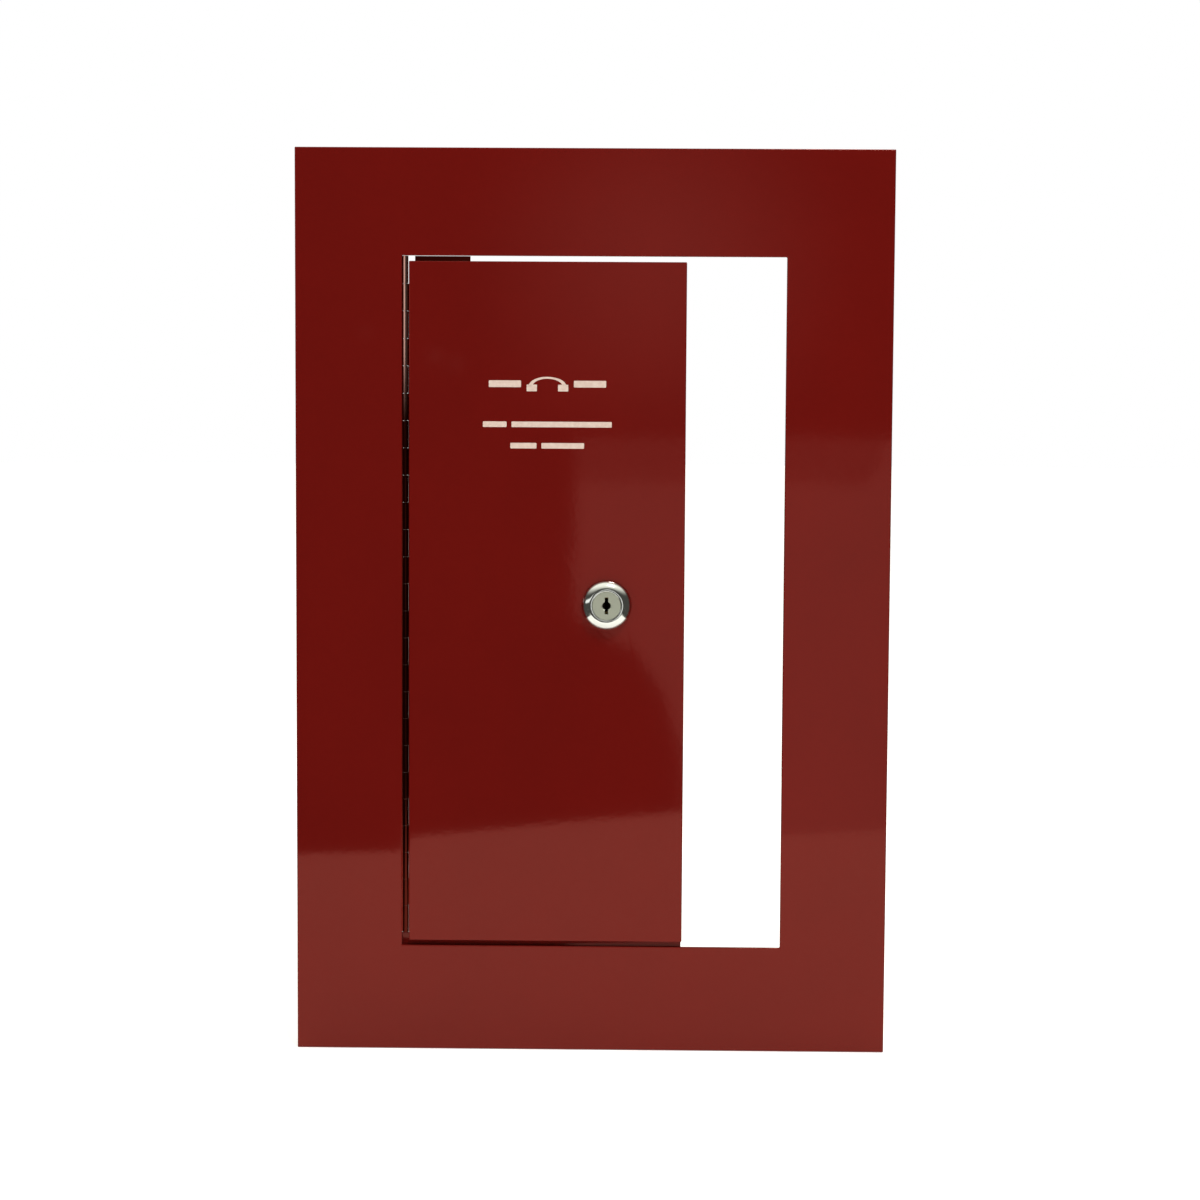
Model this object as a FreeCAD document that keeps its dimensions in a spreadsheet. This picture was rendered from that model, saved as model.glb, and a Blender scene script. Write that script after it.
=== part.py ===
import FreeCAD, Part
import Sketcher
import os

# Front of a recessed emergency telephone cabinet: a flat trim plate with a tall opening, and a door
# that hangs in the opening on a continuous hinge and has a key-operated cam lock.
# X runs to the right, Y into the wall and Z up. The origin is the middle of the trim plate, in the
# plane of its back face, which is the plane of the wall. All sizes are in millimetres.

doc = FreeCAD.newDocument("TelephoneCabinetFront")
sheet = doc.addObject("Spreadsheet::Sheet", "Sizes")

SIZES = [
    ("trim_width", 266.7, "trim plate, across"),
    ("trim_height", 406.4, "trim plate, up"),
    ("border_width", 47.625, "from the edge of the trim plate to its opening"),
    ("sheet_thickness", 1.9, "steel sheet of the trim plate and the door"),
    ("door_clearance", 2.4, "between the door and the opening, above and below"),
    ("slot_width", 44.45, "open slot between the door's free edge and the opening"),
    ("pin_diameter", 1.3, "wire pin of the continuous hinge"),
    ("leaf_thickness", 0.6, "sheet of the hinge leaves"),
    ("leaf_width", 28.9, "from the pin's axis to the edge of a hinge leaf"),
    ("barrel_clearance", 0.3, "from the hinge's barrel to the sheets on both sides"),
    ("hinge_top_clearance", 0.15, "from the top of the hinge to the top of the opening"),
    ("hinge_bottom_clearance", 5.95, "from the bottom of the hinge to the bottom of the opening"),
    ("knuckle_count", 25, "knuckles of both leaves together, an odd number"),
    ("knuckle_gap", 0.14, "free gap between neighbouring knuckles"),
    ("knuckle_notch", 1.25, "from the pin's axis to the floor of a notch in the flat of a leaf"),
    ("corner_relief", 4.2, "the same at the cut corner at the top of the door's leaf"),
    ("running_clearance", 0.05, "radial clearance of pins, plugs and threads"),
    ("stud_diameter", 4.1, "weld studs"),
    ("stud_length", 8.0, "weld studs, from the sheet to the tip"),
    ("stud_hole_diameter", 4.6, "holes for the weld studs"),
    ("hinge_stud_offset", 19.05, "from the pin's axis to a row of hinge studs"),
    ("hinge_stud_inset", 25.4, "from an end of the hinge to the nearest stud"),
    ("hinge_stud_count", 5, "studs on each leaf"),
    ("nut_width", 8.73, "nuts on the weld studs, across flats"),
    ("nut_thickness", 3.2, "nuts on the weld studs"),
    ("nut_flange_diameter", 10.2, "toothed flange of those nuts"),
    ("nut_flange_thickness", 0.9, "toothed flange of those nuts"),
    ("rim_width", 19.05, "part of the trim outside the back box, at each side"),
    ("box_wall_gap", 0.8, "from a bracket to the outside of the back box"),
    ("bracket_rise", 14.425, "from the opening up or down to the middle of a bracket"),
    ("bracket_width", 22.2, "angle brackets, along Z"),
    ("bracket_thickness", 1.9, "sheet of the angle brackets"),
    ("foot_clearance", 2.375, "from the side of the opening to the foot of a bracket"),
    ("bracket_leg", 22.2, "bracket, into the wall"),
    ("bracket_bend", 1.9, "inside radius of the bracket's bend"),
    ("bracket_hole_diameter", 5.2, "hole for the screw into the side of the box"),
    ("bracket_hole_depth", 14.3, "from the trim's back to that hole"),
    ("strip_length", 128.6, "door stop strip"),
    ("strip_thickness", 1.5, "sheet of the door stop strip"),
    ("strip_tuck", 2.0, "part of the strip past the opening at the hinge side"),
    ("strip_foot", 19.0, "part of the strip behind the lower border"),
    ("strip_joggle", 0.8, "set-back of the strip behind the door"),
    ("strip_bend_height", 2.0, "height over which the strip steps back"),
    ("strip_overlap", 3.0, "height of the strip behind the door"),
    ("lock_backset", 34.925, "from the door's free edge to the lock's axis"),
    ("bezel_diameter", 22.4, "lock bezel"),
    ("bezel_height", 4.2, "from the door's face to the front of the bezel"),
    ("bezel_round", 3.9, "radius of the bezel's rounded edge"),
    ("barrel_diameter", 19.05, "threaded barrel of the lock"),
    ("barrel_reach", 16.0, "from the door's back to the end of the barrel"),
    ("barrel_flats", 15.9, "across the two flats of the barrel"),
    ("barrel_fit", 0.15, "from the barrel and its flats to the hole in the door"),
    ("lock_washer_diameter", 24.4, "toothed washer behind the door"),
    ("lock_washer_thickness", 0.8, "toothed washer behind the door"),
    ("lock_nut_width", 22.2, "mounting nut of the lock, across flats"),
    ("lock_nut_thickness", 3.2, "mounting nut of the lock"),
    ("plug_head_diameter", 12.6, "face of the plug"),
    ("plug_head_depth", 3.0, "from the front of the bezel to the plug's shoulder"),
    ("plug_inset", 0.4, "the plug's face behind the front of the bezel"),
    ("plug_diameter", 11.4, "plug behind its head"),
    ("keyway_width", 1.6, "keyway"),
    ("keyway_height", 7.6, "keyway"),
    ("keyway_depth", 16.0, "keyway"),
    ("keyway_dimple_diameter", 4.4, "conical lead-in around the keyway"),
    ("keyway_dimple_depth", 1.4, "conical lead-in around the keyway"),
    ("wafer_count", 5, "flat tumblers"),
    ("wafer_pitch", 2.4, "spacing of the tumblers"),
    ("wafer_first", 2.0, "from the plug's shoulder to the first tumbler"),
    ("wafer_thickness", 0.9, "tumbler"),
    ("wafer_width", 5.0, "tumbler, across the plug"),
    ("wafer_corner_gap", 0.2, "from a tumbler's corners to the surface of the plug"),
    ("wafer_window_width", 2.4, "window of a tumbler"),
    ("wafer_window_height", 6.4, "window of a tumbler"),
    ("tail_width", 6.0, "square tail of the plug"),
    ("tail_short", 0.1, "the tail ends this far inside the cam"),
    ("stop_washer_gap", 0.3, "free gap behind the barrel and in front of the cam"),
    ("stop_washer_diameter", 16.0, "washer that limits the turn"),
    ("stop_washer_thickness", 1.0, "washer that limits the turn"),
    ("stop_lug_reach", 9.3, "from the lock's axis to the end of the stop lug"),
    ("stop_lug_half_angle", 26.0, "half the angle of the stop lug"),
    ("stop_slack_angle", 2.2, "free angle between lug and stop at each limit"),
    ("stop_ring_inner_diameter", 16.8, "raised stop on the end of the barrel"),
    ("cam_thickness", 1.6, "cam"),
    ("cam_head_diameter", 17.0, "round end of the cam"),
    ("cam_width", 11.0, "tongue of the cam"),
    ("cam_length", 44.45, "from the lock's axis to the tip of the cam"),
    ("cam_tip_round", 2.5, "rounded corners of the tip"),
    ("tail_fit", 0.05, "between the square tail and what sits on it"),
    ("cam_washer_diameter", 10.6, "split washer under the cam screw"),
    ("cam_washer_thickness", 0.9, "split washer under the cam screw"),
    ("cam_washer_split", 0.8, "gap of that split washer"),
    ("screw_diameter", 3.5, "cam screw"),
    ("screw_length", 7.0, "cam screw, under its head"),
    ("screw_head_diameter", 8.8, "cam screw"),
    ("screw_head_height", 2.3, "cam screw"),
    ("screw_tip_gap", 1.0, "free depth in front of the cam screw"),
    ("recess_width", 1.1, "cross recess of the screw"),
    ("recess_length", 4.2, "cross recess of the screw"),
    ("recess_depth", 1.2, "cross recess of the screw"),
]
for row, (alias, value, meaning) in enumerate(SIZES, 1):
    sheet.set(f"A{row}", meaning)
    sheet.set(f"B{row}", str(value))
    sheet.setAlias(f"B{row}", alias)
doc.recompute()

# Places that several pieces share, as expressions of the sizes.
OPENING_X = "(Sizes.trim_width / 2 - Sizes.border_width)"
OPENING_Z = "(Sizes.trim_height / 2 - Sizes.border_width)"
KNUCKLE_BORE = "(Sizes.pin_diameter / 2 + Sizes.running_clearance)"
BARREL_RADIUS = f"({KNUCKLE_BORE} + Sizes.leaf_thickness)"
HINGE_GAP = f"(2 * {BARREL_RADIUS} + 2 * Sizes.barrel_clearance)"
PIN_X = f"({HINGE_GAP} / 2 - {OPENING_X})"
PIN_Y = f"(-{KNUCKLE_BORE})"
HINGE_TOP = f"({OPENING_Z} - Sizes.hinge_top_clearance)"
HINGE_BOTTOM = f"(Sizes.hinge_bottom_clearance - {OPENING_Z})"
HINGE_LENGTH = f"({HINGE_TOP} - {HINGE_BOTTOM})"
KNUCKLE_PITCH = f"({HINGE_LENGTH} / Sizes.knuckle_count)"
STUD_PITCH = f"(({HINGE_LENGTH} - 2 * Sizes.hinge_stud_inset) / (Sizes.hinge_stud_count - 1))"
DOOR_LEFT = f"({HINGE_GAP} - {OPENING_X})"
DOOR_RIGHT = f"({OPENING_X} - Sizes.slot_width)"
DOOR_Z = f"({OPENING_Z} - Sizes.door_clearance)"
FRONT = "(-Sizes.sheet_thickness)"
BRACKET_X = "(Sizes.trim_width / 2 - Sizes.rim_width - Sizes.box_wall_gap)"
BRACKET_Z = f"({OPENING_Z} + Sizes.bracket_rise)"
BRACKET_FOOT = f"({BRACKET_X} - {OPENING_X} - Sizes.foot_clearance)"
BRACKET_STUD = f"(({BRACKET_FOOT} + Sizes.bracket_thickness + Sizes.bracket_bend) / 2)"
LOCK_X = f"({DOOR_RIGHT} - Sizes.lock_backset)"
BEZEL_FRONT = f"({FRONT} - Sizes.bezel_height)"
PLUG_SHOULDER = f"({BEZEL_FRONT} + Sizes.plug_head_depth)"
PLUG_FRONT = f"({BEZEL_FRONT} + Sizes.plug_inset)"
PLUG_REAR = "(Sizes.barrel_reach + Sizes.stop_washer_gap)"
CAM_FRONT = f"({PLUG_REAR} + Sizes.stop_washer_thickness)"
CAM_REAR = f"({CAM_FRONT} + Sizes.cam_thickness)"
TAIL_END = f"({CAM_REAR} - Sizes.tail_short)"
SCREW_SEAT = f"({CAM_REAR} + Sizes.cam_washer_thickness)"

RIGHT_ANGLE = 90.0
SAME_PLACE = 1e-6
AXES = "XYZ"

subparts = {}


def value_of(expression):
    """The number that an expression of the sizes has now."""
    return float(sheet.evalExpression(str(expression)))


def keep(piece, label):
    """Name a finished piece and list it for export."""
    piece.Label = label
    subparts[label] = piece
    return piece


def new_body(label, x="0", z="0"):
    """A body with its origin moved to x, z."""
    body = doc.addObject("PartDesign::Body", label)
    body.setExpression("Placement.Base.x", x)
    body.setExpression("Placement.Base.z", z)
    return keep(body, label)


def new_sketch(body, plane, start):
    """A sketch on one of the body's own planes (XY, XZ or YZ), moved to start along the third axis."""
    sketch = body.newObject("Sketcher::SketchObject", "Outline")
    support = next(f for f in body.Origin.OriginFeatures if f.Role == plane + "_Plane")
    sketch.AttachmentSupport = [(support, "")]
    sketch.MapMode = "FlatFace"
    sign = "-" if plane == "XZ" else ""
    sketch.setExpression("AttachmentOffset.Base.z", f"{sign}({start})")
    return sketch


def fix_point(sketch, geometry, position, x, y):
    """Hold a point of the sketch at two expressions."""
    axes = (("DistanceX", x, -2), ("DistanceY", y, -1))
    for kind, expression, axis in axes:
        if expression == "0":
            sketch.addConstraint(Sketcher.Constraint("PointOnObject", geometry, position, axis))
            continue
        number = value_of(expression)
        index = sketch.addConstraint(Sketcher.Constraint(kind, -1, 1, geometry, position, number))
        sketch.setExpression(f"Constraints[{index}]", expression)


def add_polygon(sketch, points):
    """A closed outline of straight lines through points that are pairs of expressions."""
    corners = [FreeCAD.Vector(value_of(x), value_of(y), 0) for x, y in points]
    first = sketch.GeometryCount
    count = len(points)
    for i in range(count):
        sketch.addGeometry(Part.LineSegment(corners[i], corners[(i + 1) % count]), False)
    for i in range(count):
        here = first + i
        after = first + (i + 1) % count
        sketch.addConstraint(Sketcher.Constraint("Coincident", here, 2, after, 1))
    for i, (x, y) in enumerate(points):
        fix_point(sketch, first + i, 1, x, y)


def add_rectangle(sketch, low_x, low_y, high_x, high_y):
    """A rectangle from its low corner to its high corner."""
    add_polygon(sketch, [(low_x, low_y), (high_x, low_y), (high_x, high_y), (low_x, high_y)])


def add_circle(sketch, x, y, diameter):
    """A circle at x, y."""
    centre = FreeCAD.Vector(value_of(x), value_of(y), 0)
    radius = value_of(diameter) / 2
    circle = sketch.addGeometry(Part.Circle(centre, FreeCAD.Vector(0, 0, 1), radius), False)
    fix_point(sketch, circle, 3, x, y)
    index = sketch.addConstraint(Sketcher.Constraint("Radius", circle, radius))
    sketch.setExpression(f"Constraints[{index}]", f"({diameter}) / 2")


def pad(body, sketch, plane, length):
    """Add material from the sketch along the positive axis."""
    feature = body.newObject("PartDesign::Pad", "Pad")
    feature.Profile = sketch
    feature.setExpression("Length", length)
    feature.Reversed = plane == "XZ"
    doc.recompute()
    return feature


def pocket(body, sketch, plane, length):
    """Remove material from the sketch along the positive axis, and check that some went."""
    before = body.Shape.Volume
    feature = body.newObject("PartDesign::Pocket", "Pocket")
    feature.Profile = sketch
    feature.setExpression("Length", length)
    feature.Reversed = plane != "XZ"
    doc.recompute()
    if not body.Shape.Volume < before:
        raise RuntimeError(f"{body.Label}: a pocket cuts nothing")
    return feature


def turn(body, kind, points):
    """Add or remove a full ring about the body's Y axis, with radius, y pairs as its section."""
    sketch = new_sketch(body, "XY", "0")
    add_polygon(sketch, points)
    feature = body.newObject(kind, "Turned")
    feature.Profile = sketch
    feature.ReferenceAxis = (sketch, ["V_Axis"])
    doc.recompute()


def repeat_up(body, feature, spacing, steps):
    """Repeat a feature upwards; steps is an expression for how many spaces there are."""
    axis = next(f for f in body.Origin.OriginFeatures if f.Role == "Z_Axis")
    pattern = body.newObject("PartDesign::LinearPattern", "Repeat")
    pattern.Originals = [feature]
    pattern.Direction = (axis, [""])
    pattern.setExpression("Length", f"({spacing}) * ({steps})")
    pattern.setExpression("Occurrences", f"({steps}) + 1")
    body.Tip = pattern
    doc.recompute()
    return pattern


def primitive(kind, x, y, z, **sizes):
    """A Part primitive at x, y, z with its sizes bound; round ones point along Y."""
    solid = doc.addObject(kind, "Solid")
    if kind != "Part::Box":
        solid.Placement = FreeCAD.Placement(
            FreeCAD.Vector(), FreeCAD.Rotation(FreeCAD.Vector(1, 0, 0), -RIGHT_ANGLE))
    for name, expression in (("x", x), ("y", y), ("z", z)):
        solid.setExpression(f"Placement.Base.{name}", expression)
    for name, expression in sizes.items():
        solid.setExpression(name, expression)
    return solid


def cut(base, tool):
    """Base without tool."""
    result = doc.addObject("Part::Cut", "Cut")
    result.Base = base
    result.Tool = tool
    return result


def group(label, pieces):
    """Several like pieces as one sub-part."""
    compound = doc.addObject("Part::Compound", label)
    compound.Links = pieces
    return keep(compound, label)


def make_trim_plate():
    """Sheet with the rectangular opening."""
    body = new_body("trim_plate")
    sketch = new_sketch(body, "XZ", FRONT)
    add_rectangle(sketch, "-Sizes.trim_width / 2", "-Sizes.trim_height / 2",
                  "Sizes.trim_width / 2", "Sizes.trim_height / 2")
    add_rectangle(sketch, f"-{OPENING_X}", f"-{OPENING_Z}", OPENING_X, OPENING_Z)
    pad(body, sketch, "XZ", "Sizes.sheet_thickness")


def make_door_panel():
    """Flat sheet in the opening, with a round hole that two flats narrow for the lock."""
    body = new_body("door_panel")
    sketch = new_sketch(body, "XZ", FRONT)
    add_rectangle(sketch, DOOR_LEFT, f"-{DOOR_Z}", DOOR_RIGHT, DOOR_Z)
    add_circle(sketch, LOCK_X, "0", "Sizes.barrel_diameter + 2 * Sizes.barrel_fit")
    pad(body, sketch, "XZ", "Sizes.sheet_thickness")
    flat = "(Sizes.barrel_flats / 2 + Sizes.barrel_fit)"
    reach = "(Sizes.barrel_diameter / 2 + 2 * Sizes.barrel_fit)"
    for side in ("-", ""):
        sketch = new_sketch(body, "XZ", FRONT)
        edges = sorted((f"{LOCK_X} + {side}{flat}", f"{LOCK_X} + {side}{reach}"), key=value_of)
        add_rectangle(sketch, edges[0], f"-{reach}", edges[1], reach)
        pad(body, sketch, "XZ", "Sizes.sheet_thickness")


def make_hinge_leaf(label, side, first_notch, notch_steps):
    """Hinge leaf: flat sheet and rolled barrel, notched for the other leaf's knuckles.

    side is "-" for the leaf on the trim and "" for the one on the door.
    """
    body = new_body(label, PIN_X)
    near = f"{side}Sizes.leaf_thickness / 2"
    far = f"{side}Sizes.leaf_width"
    low, high = sorted((near, far), key=value_of)
    barrel = new_sketch(body, "XY", HINGE_BOTTOM)
    add_circle(barrel, "0", PIN_Y, f"2 * {BARREL_RADIUS}")
    add_circle(barrel, "0", PIN_Y, f"2 * {KNUCKLE_BORE}")
    pad(body, barrel, "XY", HINGE_LENGTH)
    flat = new_sketch(body, "XY", HINGE_BOTTOM)
    add_rectangle(flat, low, "0", high, "Sizes.leaf_thickness")
    pad(body, flat, "XY", HINGE_LENGTH)
    reach = f"2 * {BARREL_RADIUS}"
    past_barrel = f"{side}({BARREL_RADIUS} + Sizes.running_clearance)"
    notch_floor = f"{side}Sizes.knuckle_notch"
    other_side = f"{side}(-{reach})"
    notch = new_sketch(body, "XY", first_notch)
    add_polygon(notch, [
        (other_side, f"-{reach}"), (past_barrel, f"-{reach}"), (past_barrel, "0"),
        (notch_floor, "0"), (notch_floor, reach), (other_side, reach),
    ])
    cutter = pocket(body, notch, "XY", f"{KNUCKLE_PITCH} + Sizes.knuckle_gap")
    repeat_up(body, cutter, f"2 * {KNUCKLE_PITCH}", notch_steps)
    holes = new_sketch(body, "XZ", "0")
    for height in stud_heights():
        add_circle(holes, f"{side}Sizes.hinge_stud_offset", height, "Sizes.stud_hole_diameter")
    pocket(body, holes, "XZ", "Sizes.leaf_thickness")
    return body


def stud_heights():
    """Heights of the hinge studs, from the lowest to the highest."""
    lowest = f"{HINGE_BOTTOM} + Sizes.hinge_stud_inset"
    return [f"({lowest} + {i} * {STUD_PITCH})" for i in range(int(value_of("Sizes.hinge_stud_count")))]


def make_hinge():
    """Both leaves and the pin. The trim's leaf has the knuckles at both ends."""
    pairs = "((Sizes.knuckle_count - 1) / 2 - 1)"
    half_gap = "Sizes.knuckle_gap / 2"
    second_knuckle = f"({HINGE_BOTTOM} + {KNUCKLE_PITCH} - {half_gap})"
    first_knuckle = f"({HINGE_BOTTOM} - {half_gap})"
    make_hinge_leaf("hinge_leaf_trim", "-", second_knuckle, pairs)
    door_leaf = make_hinge_leaf("hinge_leaf_door", "", first_knuckle, f"{pairs} + 1")
    corner = new_sketch(door_leaf, "XZ", "0")
    add_rectangle(corner, "0", f"{HINGE_TOP} - {KNUCKLE_PITCH} - {half_gap}",
                  "Sizes.corner_relief", f"{HINGE_TOP} + Sizes.knuckle_gap")
    pocket(door_leaf, corner, "XZ", "Sizes.leaf_thickness")
    pin = new_body("hinge_pin", PIN_X)
    section = new_sketch(pin, "XY", HINGE_BOTTOM)
    add_circle(section, "0", PIN_Y, "Sizes.pin_diameter")
    pad(pin, section, "XY", HINGE_LENGTH)


def make_studs_and_nuts(prefix, places, seat):
    """Weld studs on the back of a sheet and the flanged nuts on them; seat is the clamped sheet."""
    studs = []
    nuts = []
    for x, z in places:
        studs.append(primitive("Part::Cylinder", x, "0", z, Radius="Sizes.stud_diameter / 2",
                               Height="Sizes.stud_length"))
        hexagon = primitive("Part::Prism", x, seat, z, Height="Sizes.nut_thickness",
                            Circumradius="Sizes.nut_width / 2 / cos(30)")
        hexagon.Polygon = 6
        flange = primitive("Part::Cylinder", x, seat, z, Radius="Sizes.nut_flange_diameter / 2",
                           Height="Sizes.nut_flange_thickness")
        thread = primitive("Part::Cylinder", x, seat, z, Height="Sizes.nut_thickness",
                           Radius="Sizes.stud_diameter / 2 + Sizes.running_clearance")
        outside = doc.addObject("Part::Fuse", "Fuse")
        outside.Base = hexagon
        outside.Tool = flange
        nuts.append(cut(outside, thread))
    group(prefix + "_studs", studs)
    group(prefix + "_nuts", nuts)


def make_bracket(label, side, level):
    """Angle bracket: foot on the back of the trim, leg along the side wall of the back box."""
    body = new_body(label, f"{side}{BRACKET_X}", f"{level}{BRACKET_Z} - Sizes.bracket_width / 2")
    inward = "-" if side == "" else ""
    thickness = f"{inward}Sizes.bracket_thickness"
    sketch = new_sketch(body, "XY", "0")
    add_polygon(sketch, [
        ("0", "0"),
        (f"{inward}{BRACKET_FOOT}", "0"),
        (f"{inward}{BRACKET_FOOT}", "Sizes.bracket_thickness"),
        (thickness, "Sizes.bracket_thickness"),
        (thickness, "Sizes.bracket_leg"),
        ("0", "Sizes.bracket_leg"),
    ])
    pad(body, sketch, "XY", "Sizes.bracket_width")
    round_edges(body, "Sizes.bracket_bend",
                edge_along("Z", X="Sizes.bracket_thickness", Y="Sizes.bracket_thickness"))
    round_edges(body, "Sizes.bracket_bend + Sizes.bracket_thickness", edge_along("Z", X="0", Y="0"))
    foot_hole = new_sketch(body, "XZ", "0")
    add_circle(foot_hole, f"{inward}{BRACKET_STUD}", "Sizes.bracket_width / 2",
               "Sizes.stud_hole_diameter")
    pocket(body, foot_hole, "XZ", "Sizes.bracket_thickness")
    leg_hole = new_sketch(body, "YZ", f"-{BRACKET_X}")
    add_circle(leg_hole, "Sizes.bracket_hole_depth", "Sizes.bracket_width / 2",
               "Sizes.bracket_hole_diameter")
    pocket(body, leg_hole, "YZ", f"2 * {BRACKET_X}")


def round_edges(body, radius, is_wanted):
    """Fillet every edge of the body that is_wanted accepts."""
    base = body.Tip
    names = [f"Edge{i}" for i, edge in enumerate(base.Shape.Edges, 1) if is_wanted(edge)]
    if not names:
        raise RuntimeError(f"{body.Label}: no edge to round")
    feature = body.newObject("PartDesign::Fillet", "Round")
    feature.Base = (base, names)
    feature.setExpression("Radius", radius)
    doc.recompute()


def edge_along(axis, **place):
    """A test for a straight edge along X, Y or Z at the given distances from the body's planes."""
    def is_wanted(edge):
        ends = [vertex.Point for vertex in edge.Vertexes]
        run = max(end[AXES.index(axis)] for end in ends) - min(end[AXES.index(axis)] for end in ends)
        return abs(run - edge.Length) < SAME_PLACE and all(
            abs(abs(end[AXES.index(name)]) - value_of(distance)) < SAME_PLACE
            for end in ends for name, distance in place.items())
    return is_wanted


def make_brackets():
    """Four brackets with their studs and nuts, above and below the hinge's leaves."""
    sides = (("left", "-"), ("right", ""))
    levels = (("upper", ""), ("lower", "-"))
    places = []
    for side_name, side in sides:
        for level_name, level in levels:
            make_bracket(f"bracket_{level_name}_{side_name}", side, level)
            places.append((f"{side}({BRACKET_X} - {BRACKET_STUD})", f"{level}{BRACKET_Z}"))
    make_studs_and_nuts("bracket", places, "Sizes.bracket_thickness")


def make_door_stop_strip():
    """Strip behind the lower border that steps back and rises behind the door's lower edge."""
    body = new_body("door_stop_strip")
    sketch = new_sketch(body, "YZ", f"-{OPENING_X} - Sizes.strip_tuck")
    foot = f"-{OPENING_Z} - Sizes.strip_foot"
    bend_low = f"-{OPENING_Z} - Sizes.strip_bend_height"
    bend_high = f"-{OPENING_Z}"
    top = f"Sizes.strip_overlap - {DOOR_Z}"
    back = "Sizes.strip_joggle + Sizes.strip_thickness"
    add_polygon(sketch, [
        ("0", foot),
        ("Sizes.strip_thickness", foot),
        ("Sizes.strip_thickness", bend_low),
        (back, bend_high),
        (back, top),
        ("Sizes.strip_joggle", top),
        ("Sizes.strip_joggle", bend_high),
        ("0", bend_low),
    ])
    pad(body, sketch, "YZ", "Sizes.strip_length")


def make_lock_housing():
    """Rounded bezel and flat-sided barrel in one piece, bored for the plug, with the turning stop."""
    body = new_body("lock_housing", LOCK_X)
    bore = "Sizes.plug_diameter / 2 + Sizes.running_clearance"
    head_bore = "Sizes.plug_head_diameter / 2 + Sizes.running_clearance"
    turn(body, "PartDesign::Revolution", [
        (head_bore, BEZEL_FRONT),
        ("Sizes.bezel_diameter / 2", BEZEL_FRONT),
        ("Sizes.bezel_diameter / 2", FRONT),
        ("Sizes.barrel_diameter / 2", FRONT),
        ("Sizes.barrel_diameter / 2", "Sizes.barrel_reach"),
        (bore, "Sizes.barrel_reach"),
        (bore, PLUG_SHOULDER),
        (head_bore, PLUG_SHOULDER),
    ])
    round_edges(body, "Sizes.bezel_round", circle_at("Sizes.bezel_diameter / 2", BEZEL_FRONT))
    make_turning_stop(body)
    flats = new_sketch(body, "XZ", FRONT)
    reach = "Sizes.barrel_diameter"
    add_rectangle(flats, "Sizes.barrel_flats / 2", f"-{reach}", reach, reach)
    add_rectangle(flats, f"-{reach}", f"-{reach}", "-Sizes.barrel_flats / 2", reach)
    pocket(body, flats, "XZ",
           "Sizes.sheet_thickness + Sizes.barrel_reach + Sizes.stop_washer_thickness")


def circle_at(radius, y):
    """A test for the circle of a radius about the body's Y axis at a height y."""
    def is_wanted(edge):
        if not isinstance(edge.Curve, Part.Circle):
            return False
        centre = edge.Curve.Center
        return abs(edge.Curve.Radius - value_of(radius)) + abs(centre.y - value_of(y)) < SAME_PLACE
    return is_wanted


def make_turning_stop(body):
    """Raised arc on the end of the barrel that leaves the lug of the stop washer a quarter turn."""
    ring = new_sketch(body, "XZ", "Sizes.barrel_reach")
    add_circle(ring, "0", "0", "Sizes.barrel_diameter")
    add_circle(ring, "0", "0", "Sizes.stop_ring_inner_diameter")
    pad(body, ring, "XZ", "Sizes.stop_washer_thickness")
    gap_angle = "(Sizes.stop_lug_half_angle + Sizes.stop_slack_angle)"
    far = "(2 * Sizes.barrel_diameter)"
    window = new_sketch(body, "XZ", "Sizes.barrel_reach")
    add_polygon(window, [
        ("0", "0"),
        (f"-{far} * sin{gap_angle}", f"-{far} * cos{gap_angle}"),
        (far, f"-2 * {far}"),
        (f"{far} * cos{gap_angle}", f"{far} * sin{gap_angle}"),
    ])
    pocket(body, window, "XZ", "Sizes.stop_washer_thickness")


def make_lock_nut_and_washer():
    """Toothed washer and hexagonal nut that clamp the housing from behind the door."""
    thread = "Sizes.barrel_diameter / 2 + Sizes.running_clearance"
    washer = primitive("Part::Cylinder", LOCK_X, "0", "0", Height="Sizes.lock_washer_thickness",
                       Radius="Sizes.lock_washer_diameter / 2")
    washer_hole = primitive("Part::Cylinder", LOCK_X, "0", "0", Radius=thread,
                            Height="Sizes.lock_washer_thickness")
    keep(cut(washer, washer_hole), "lock_tooth_washer")
    seat = "Sizes.lock_washer_thickness"
    nut = primitive("Part::Prism", LOCK_X, seat, "0", Height="Sizes.lock_nut_thickness",
                    Circumradius="Sizes.lock_nut_width / 2 / cos(30)")
    nut.Polygon = 6
    nut_hole = primitive("Part::Cylinder", LOCK_X, seat, "0", Radius=thread,
                         Height="Sizes.lock_nut_thickness")
    keep(cut(nut, nut_hole), "lock_mounting_nut")


def wafer_place(index):
    """Front of one tumbler."""
    return f"({PLUG_SHOULDER} + Sizes.wafer_first + {index} * Sizes.wafer_pitch)"


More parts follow.
